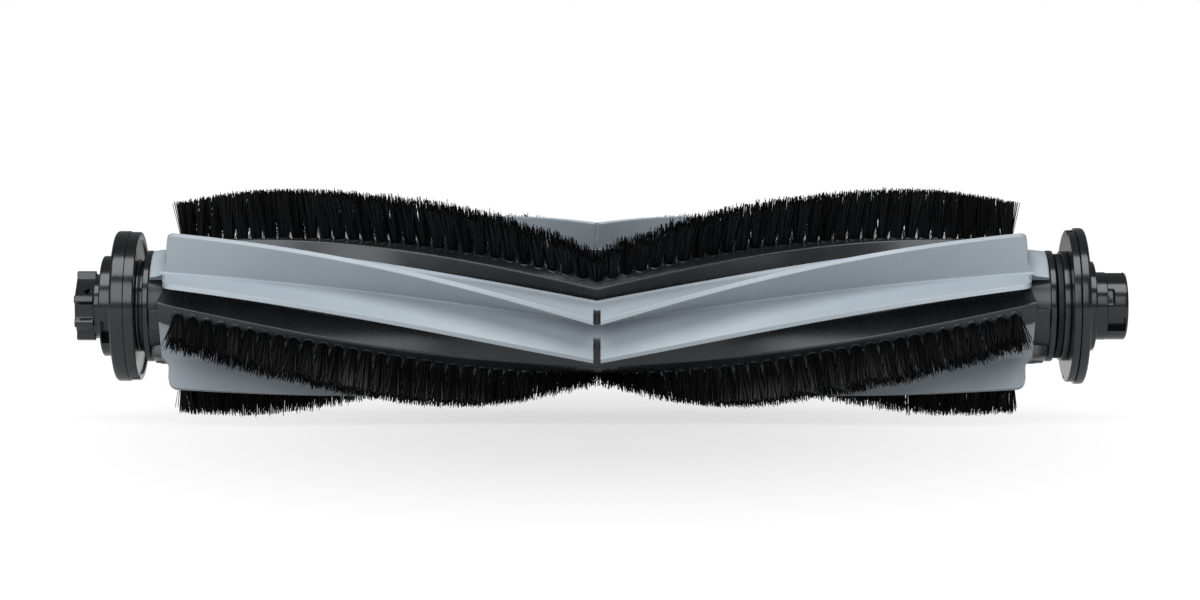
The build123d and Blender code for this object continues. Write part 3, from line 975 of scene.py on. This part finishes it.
def strip_outline(x, row):
    """Cross section of a strip at x; the first one carries two lips that meet in a valley."""
    start = ROW_ANGLES[row] + BAND_START - BAND_TAPER * (abs(x) / HALF_CORE) ** 3 - ridge_turn(x)
    corners = [(BAND_FLOOR_R, start, 0), (BAND_R, start, EDGE_ROUND)]
    if row == 0:
        first_turn = lip_turn(x, LIP_TWIST)
        second_turn = lip_turn(x, SECOND_LIP_TWIST)
        flare = DOUBLE_FLARE * max(0.0, min(1.0, (x - LIP_END + 1) / 2)) ** 2
        finish = DOUBLE_EDGE - second_turn + flare
        corners.append((BAND_R, DOUBLE_START - first_turn, ROOT_ROUND))
        corners += tip_corners(DOUBLE_TIPS[0] - first_turn)
        corners.append((BAND_R, DOUBLE_VALLEY - second_turn, EDGE_ROUND))
        corners += tip_corners(DOUBLE_TIPS[1] - second_turn)
        corners.append((BAND_R, DOUBLE_FINISH - second_turn, EDGE_ROUND))
    else:
        shift = ROW_ANGLES[row] - ROW_ANGLES[1] - lip_turn(x, SINGLE_LIP_TWIST)
        if row == len(ROW_ANGLES) - 1:
            shift += BACK_LIP_SHIFT * max(0.0, 1 - x / BACK_LIP_REACH) ** 2
        finish = NEXT_ANGLES[row] + BAND_FINISH - ridge_turn(x)
        corners.append((BAND_R, SINGLE_LIP_ROOT - LIP_ROOT_HALF + shift, ROOT_ROUND))
        corners += tip_corners(SINGLE_LIP_TIP + shift)
        corners.append((BAND_R, SINGLE_LIP_ROOT + LIP_ROOT_HALF + shift, ROOT_ROUND))
    corners += [(BAND_R, finish, EDGE_ROUND), (BAND_FLOOR_R, finish, 0)]
    corners += [(BAND_FLOOR_R, finish + (start - finish) * step / 5, 0) for step in range(1, 5)]
    return rounded([(*spot(radius, angle), size) for radius, angle, size in corners])


def slot_cutter(angle, half=SLOT_HALF, depth=SLOT_DEPTH):
    """A slit with a round floor, cut into the lips at the middle of the roller."""
    floor = SLOT_FLOOR_R + half
    points = [(-half, SLOT_BACK, LIP_TIP_R + 4.0)]
    for step in range(9):
        turn = pi + pi * step / 8
        points.append((half * cos(turn), SLOT_BACK, floor + half * sin(turn)))
    points.append((half, SLOT_BACK, LIP_TIP_R + 4.0))
    cutter = block(points, (0, depth, 0), "slot_cutter")
    turn_about_axis(cutter, angle)
    return cutter


def strip_envelope():
    """A turned body that rounds the lip ends off and slopes the shoulders down to the necks."""
    sides = []
    for end in (SHOULDER_END, BEARING_SHOULDER_END):
        sides.append([
            (LIP_END, LIP_TIP_R + 0.1, LIP_CORNER * 1.5),
            (LIP_END, BAND_R + 1.1, 1.0),
            (HALF_CORE, BAND_R + 0.05, 0.6),
            (end, BAND_R - 0.45, 0.3),
            (end, 0.0, 0),
        ])
    corners = [(-x, radius, size) for x, radius, size in reversed(sides[0])] + sides[1]
    return lathe(rounded(corners), "strip_envelope", steps=72)


def trim_shoulders(strip, row):
    """Cuts the first strip's shoulders narrow and takes the second strip's off."""
    for side in (-1, 1):
        if row == 0:
            ends = sorted((side * NARROW_SHOULDER_START, side * TRIM_END))
            cutter = box_cutter((ends[0], -8.0, 3.0), (ends[1], 0.0, TRIM_R))
            turn_about_axis(cutter, SHOULDER_FINISH)
            cut(strip, cutter)
        elif row == 1:
            ends = sorted((side * BARE_SHOULDER_START, side * TRIM_END))
            cut(strip, box_cutter((ends[0], -TRIM_R, -TRIM_R), (ends[1], TRIM_R, TRIM_R)))


def rubber_strips():
    for row in range(len(ROW_ANGLES)):
        name = f"rubber_strip_{row + 1}"
        strip = loft(lambda x: strip_outline(x, row), BEARING_SHOULDER_END, f"{name}_moulding", steps=30)
        both_ends(strip)
        cut(strip, strip_envelope(), operation="INTERSECT")
        shift = ROW_ANGLES[row] - ROW_ANGLES[1]
        if row == 0:
            cut(strip, slot_cutter(DOUBLE_SLOT_ANGLE))
        elif row == len(ROW_ANGLES) - 1:
            angle = SINGLE_LIP_TIP + BACK_LIP_SHIFT + shift
            cut(strip, slot_cutter(angle, BACK_SLOT_HALF, BACK_SLOT_DEPTH))
        else:
            cut(strip, slot_cutter(SINGLE_LIP_TIP + shift))
        trim_shoulders(strip, row)
        settle(strip, "roller", "grey_rubber", GREY_RUBBER, name)


# Drive end


def ring_piece(first, last, outer, inner, name, rounding=0.15):
    """A plain turned ring with rounded outer edges."""
    corners = [(first, inner, 0), (first, outer, rounding), (last, outer, rounding), (last, inner, 0)]
    return lathe(rounded(corners), name)


def plug(first, last, radius, name):
    """A plain turned cylinder."""
    return lathe([(first, 0.0), (first, radius), (last, radius), (last, 0.0)], name, steps=48)


def drive_fittings():
    ring = ring_piece(-NECK_END, -DRIVE_RING_END, RING_R, BORE_R, "drive_neck_ring", 0.2)
    settle(ring, "roller", "end_plastic", END_BLACK, "drive_ring")

    cup = lathe(
        rounded([
            (-DISC_START, BORE_R, 0),
            (-DISC_START, CUP_R, 0.1),
            (-CUP_START, CUP_R, 0.3),
            (-CUP_START, CUP_R - CUP_WALL, 0.3),
            (-DISC_START + CUP_WEB, CUP_R - CUP_WALL, 0.15),
            (-DISC_START + CUP_WEB, CUP_SLEEVE_R, 0.3),
            (-DRIVE_RING_END, CUP_SLEEVE_R, 0.1),
            (-DRIVE_RING_END, BORE_R, 0),
        ]),
        "drive_guard_cup",
    )
    low = (-DISC_START + CUP_SLIT_FLOOR, -CUP_SLIT_HALF, CUP_R - 0.9)
    slit = box_cutter(low, (-CUP_START + 1, CUP_SLIT_HALF, CUP_R + 1))
    turn_about_axis(slit, CUP_SLIT_ANGLE)
    cut(cup, slit)
    settle(cup, "roller", "end_plastic", END_BLACK, "drive_cup")

    disc = lathe(
        rounded([
            (-DISC_START, BORE_R, 0),
            (-DISC_START, DISC_R, 0.12),
            (-DISC_END, DISC_R, 0.6),
            *[(-DISC_END + depth, radius, FACE_ROUND) for depth, radius in DISC_FACE],
            (-DISC_END, BORE_R, 0),
        ]),
        "drive_guard_disc",
    )
    settle(disc, "roller", "end_plastic", END_BLACK, "drive_disc")

    collar = ring_piece(-DISC_END, -COLLAR_END, COLLAR_R, BORE_R, "drive_seat_collar", 0.3)
    for angle in (COLLAR_SLOT_ANGLE, COLLAR_SLOT_ANGLE + 180.0):
        low = (-COLLAR_END + 0.3, -2.2, COLLAR_R - COLLAR_SLOT_DEPTH)
        cutter = box_cutter(low, (-DISC_END - 0.15, 2.1, COLLAR_R + 1.0))
        turn_about_axis(cutter, angle)
        cut(collar, cutter)
    settle(collar, "roller", "end_plastic", END_BLACK, "drive_collar")

    outline = []
    for middle in HUB_TEETH:
        outline.append((HUB_ROOT_R, middle - TOOTH_ROOT_HALF))
        outline.append((HUB_R, middle - TOOTH_TIP_HALF))
        outline.append((HUB_R, middle + TOOTH_TIP_HALF))
        outline.append((HUB_ROOT_R, middle + TOOTH_ROOT_HALF))
    teeth = block(
        [(-COLLAR_END - HUB_STEP, *spot(radius, angle)) for radius, angle in outline],
        (-(HUB_END - COLLAR_END - HUB_STEP), 0, 0),
        "drive_dog",
    )
    round_edges(teeth, 0.12)
    recess = plug(-HUB_END - 1, -HUB_END + HUB_RECESS, HUB_RECESS_R, "recess_cutter")
    half = HUB_HOLE / 2
    hole = box_cutter((-half, -half, HUB_HOLE_FLOOR), (half, half, HUB_R + 1))
    hole.data.transform(Matrix.Rotation(radians(45), 4, "Z"))
    hole.data.transform(Matrix.Translation((-HUB_END + HUB_HOLE_BACK, 0, 0)))
    turn_about_axis(hole, HUB_HOLE_ANGLE)
    cut(teeth, recess, hole)
    neck = ring_piece(-COLLAR_END, -COLLAR_END - HUB_STEP, HUB_NECK_R, HUB_BORE_R, "hub_neck", 0.12)
    settle(join([teeth, neck], "drive_dog"), "roller", "end_plastic", END_BLACK, "drive_hub")

    head_floor = -HUB_END + HUB_RECESS
    head = plug(head_floor, head_floor - SCREW_HEAD, SCREW_HEAD_R, "screw_head")
    round_edges(head, 0.3)
    for wide, tall in ((SCREW_CROSS, SCREW_HEAD_R * 1.2), (SCREW_HEAD_R * 1.2, SCREW_CROSS)):
        low = (head_floor - SCREW_HEAD - 1, -wide / 2, -tall / 2)
        high = (head_floor - SCREW_HEAD * 0.4, wide / 2, tall / 2)
        cut(head, box_cutter(low, high))
    settle(head, "roller", "steel", STEEL, "hub_screw")


# Bearing end


def bearing_fittings():
    ring = ring_piece(BEARING_NECK_END, BEARING_RING_END, RING_R, BORE_R, "bearing_neck_ring", 0.2)
    settle(ring, "roller", "end_plastic", END_BLACK, "bearing_ring")

    seal = ring_piece(SEAL_START, CAP_START, SEAL_R, SEAL_BORE_R, "bearing_lip_seal", 0.2)
    settle(seal, "bearing_cap", "seal_rubber", SEAL_DARK, "bearing_seal")

    collar = ring_piece(CAP_START, CAP_INNER_START, CAP_COLLAR_R, BUSH_R, "cap_collar", 0.2)
    settle(collar, "bearing_cap", "end_plastic", END_BLACK, "bearing_collar")

    inner = ring_piece(CAP_INNER_START, CAP_OUTER_START, CAP_INNER_R, BUSH_R, "cap_inner_disc", 0.22)
    for angle in CAP_NOTCH_ANGLES:
        low = (CAP_INNER_START - 1, -CAP_NOTCH_HALF, CAP_INNER_R - CAP_NOTCH_DEPTH)
        cutter = box_cutter(low, (CAP_OUTER_START - 0.4, CAP_NOTCH_HALF, CAP_INNER_R + 1))
        turn_about_axis(cutter, angle)
        cut(inner, cutter)
    settle(inner, "bearing_cap", "end_plastic", END_BLACK, "bearing_disc_inner")

    outer = lathe(
        rounded([
            (CAP_OUTER_START, BUSH_R, 0),
            (CAP_OUTER_START, CAP_OUTER_R, 0.15),
            (FLANGE_START, CAP_OUTER_R, 0.55),
            *[(FLANGE_START - depth, radius, FACE_ROUND) for depth, radius in CAP_FACE],
            (FLANGE_START, BUSH_R, 0),
        ]),
        "cap_outer_disc",
    )
    settle(outer, "bearing_cap", "end_plastic", END_BLACK, "bearing_disc_outer")

    flange = ring_piece(FLANGE_START, SLEEVE_START, FLANGE_R, BUSH_R, "cap_flange", 0.2)
    settle(flange, "bearing_cap", "end_plastic", END_BLACK, "bearing_flange")

    sleeve = ring_piece(SLEEVE_START, NOSE_START, SLEEVE_R, BUSH_R, "bearing_seat_sleeve", 0.12)
    settle(sleeve, "bearing_cap", "end_plastic", END_BLACK, "bearing_sleeve")

    nose = lathe(
        rounded([
            (NOSE_START, BUSH_R, 0),
            (NOSE_START, NOSE_R, 0.1),
            (NOSE_END, NOSE_R, 0.4),
            (NOSE_END, 3.6, 0.15),
            (NOSE_END - 0.3, 3.3, 0.15),
            (NOSE_END - 0.3, 0.0, 0),
            (NOSE_END - 0.9, 0.0, 0),
            (NOSE_END - 0.9, BUSH_R, 0),
        ]),
        "bearing_nose_cap",
    )
    for number in range(NOSE_SLOTS):
        turn = 360.0 * number / NOSE_SLOTS
        low = (NOSE_START + 0.1, -NOSE_WIDE_HALF, NOSE_R - NOSE_WIDE_DEPTH)
        wide = box_cutter(low, (NOSE_END - 0.35, NOSE_WIDE_HALF, NOSE_R + 1))
        turn_about_axis(wide, turn + NOSE_WIDE_ANGLE)
        low = (NOSE_START - 0.5, -NOSE_SMALL_HALF, NOSE_R - NOSE_SMALL_DEPTH)
        small = box_cutter(low, (NOSE_START + 1.15, NOSE_SMALL_HALF, NOSE_R + 1))
        round_edges(small, 0.4)
        turn_about_axis(small, turn + NOSE_SMALL_ANGLE)
        cut(nose, wide, small)
    settle(nose, "bearing_cap", "end_plastic", END_BLACK, "bearing_nose")


bristle_rows()
core_moulding()
rubber_strips()
drive_fittings()
bearing_fittings()


# Floor, light and camera


def floor_material():
    """Pale floor that reads white to the camera and still takes the shadow."""
    material, parts, links = new_material("floor_white")
    shader = parts["Principled BSDF"]
    shader.inputs["Roughness"].default_value = 0.9
    shader.inputs["Specular IOR Level"].default_value = 0.0
    shader.inputs["Emission Color"].default_value = (1, 1, 1, 1)
    path = parts.new("ShaderNodeLightPath")
    shade = blend(parts, links, path.outputs["Is Camera Ray"], FLOOR_GREY, FLOOR_SEEN)
    links.new(shade, shader.inputs["Base Color"])
    mirrored = work_out(parts, links, "MULTIPLY", path.outputs["Is Glossy Ray"], 0.25)
    seen = work_out(parts, links, "MAXIMUM", path.outputs["Is Camera Ray"], mirrored)
    place = parts.new("ShaderNodeTexCoord")
    stretched = parts.new("ShaderNodeVectorMath")
    stretched.operation = "MULTIPLY_ADD"
    stretched.inputs[1].default_value = (1 / SHADOW_LENGTH, 1 / SHADOW_DEPTH, 0)
    stretched.inputs[2].default_value = (0, SHADOW_SHIFT, 0)
    links.new(place.outputs["Object"], stretched.inputs[0])
    away = parts.new("ShaderNodeVectorMath")
    away.operation = "LENGTH"
    links.new(stretched.outputs["Vector"], away.inputs[0])
    lit = rise(parts, links, away.outputs["Value"], 0.0, 1.1, SHADOW_DARKEST, 1.0)
    glow = work_out(parts, links, "MULTIPLY", seen, lit)
    links.new(glow, shader.inputs["Emission Strength"])
    return material


def world_light():
    """Even white surroundings, brighter to the camera than to the object."""
    world = bpy.data.worlds.new("studio")
    bpy.context.scene.world = world
    world.use_nodes = True
    parts = world.node_tree.nodes
    links = world.node_tree.links
    background = parts["Background"]
    background.inputs["Color"].default_value = (1, 1, 1, 1)
    path = parts.new("ShaderNodeLightPath")
    seen = work_out(
        parts, links, "MAXIMUM", path.outputs["Is Camera Ray"], path.outputs["Is Transmission Ray"]
    )
    strength = work_out(parts, links, "MULTIPLY_ADD", seen, 0.82, 0.18)
    links.new(strength, background.inputs["Strength"])


def softbox(name, location, aim, width, height, watts):
    light = bpy.data.lights.new(name, "AREA")
    light.shape = "RECTANGLE"
    light.size = width
    light.size_y = height
    light.energy = watts
    lamp = bpy.data.objects.new(name, light)
    bpy.context.scene.collection.objects.link(lamp)
    lamp.location = location
    lamp.rotation_euler = (Vector(aim) - Vector(location)).to_track_quat("-Z", "Y").to_euler()


deselect()
bpy.ops.mesh.primitive_grid_add(x_subdivisions=2, y_subdivisions=2, size=8, location=(0, 0, cad_low.z))
floor = bpy.context.object
floor.name = "floor"
floor.data.materials.append(floor_material())
world_light()
softbox("overhead_softbox", (0, -0.3, 0.68), AXIS, 0.9, 0.42, 6.4)
softbox("front_softbox", (-0.2, -0.85, 0.38), AXIS, 0.9, 0.5, 5.2)

lens = bpy.data.cameras.new("camera")
camera = bpy.data.objects.new("camera", lens)
bpy.context.scene.collection.objects.link(camera)
lens.sensor_width = 36.0
lens.lens = lens.sensor_width * CAMERA_DISTANCE / FRAME_WIDTH
tilt = radians(CAMERA_ELEVATION)
back = Vector((0, -cos(tilt), sin(tilt)))
up = Vector((0, sin(tilt), cos(tilt)))
aim = AXIS + (Vector((AIM_RIGHT, 0, 0)) + up * AIM_UP) * MM
camera.location = aim + back * CAMERA_DISTANCE * MM
camera.rotation_euler = (-back).to_track_quat("-Z", "Y").to_euler()
lens.clip_start = 0.01
lens.clip_end = 50
bpy.context.scene.camera = camera
bpy.context.scene.view_settings.view_transform = "Standard"
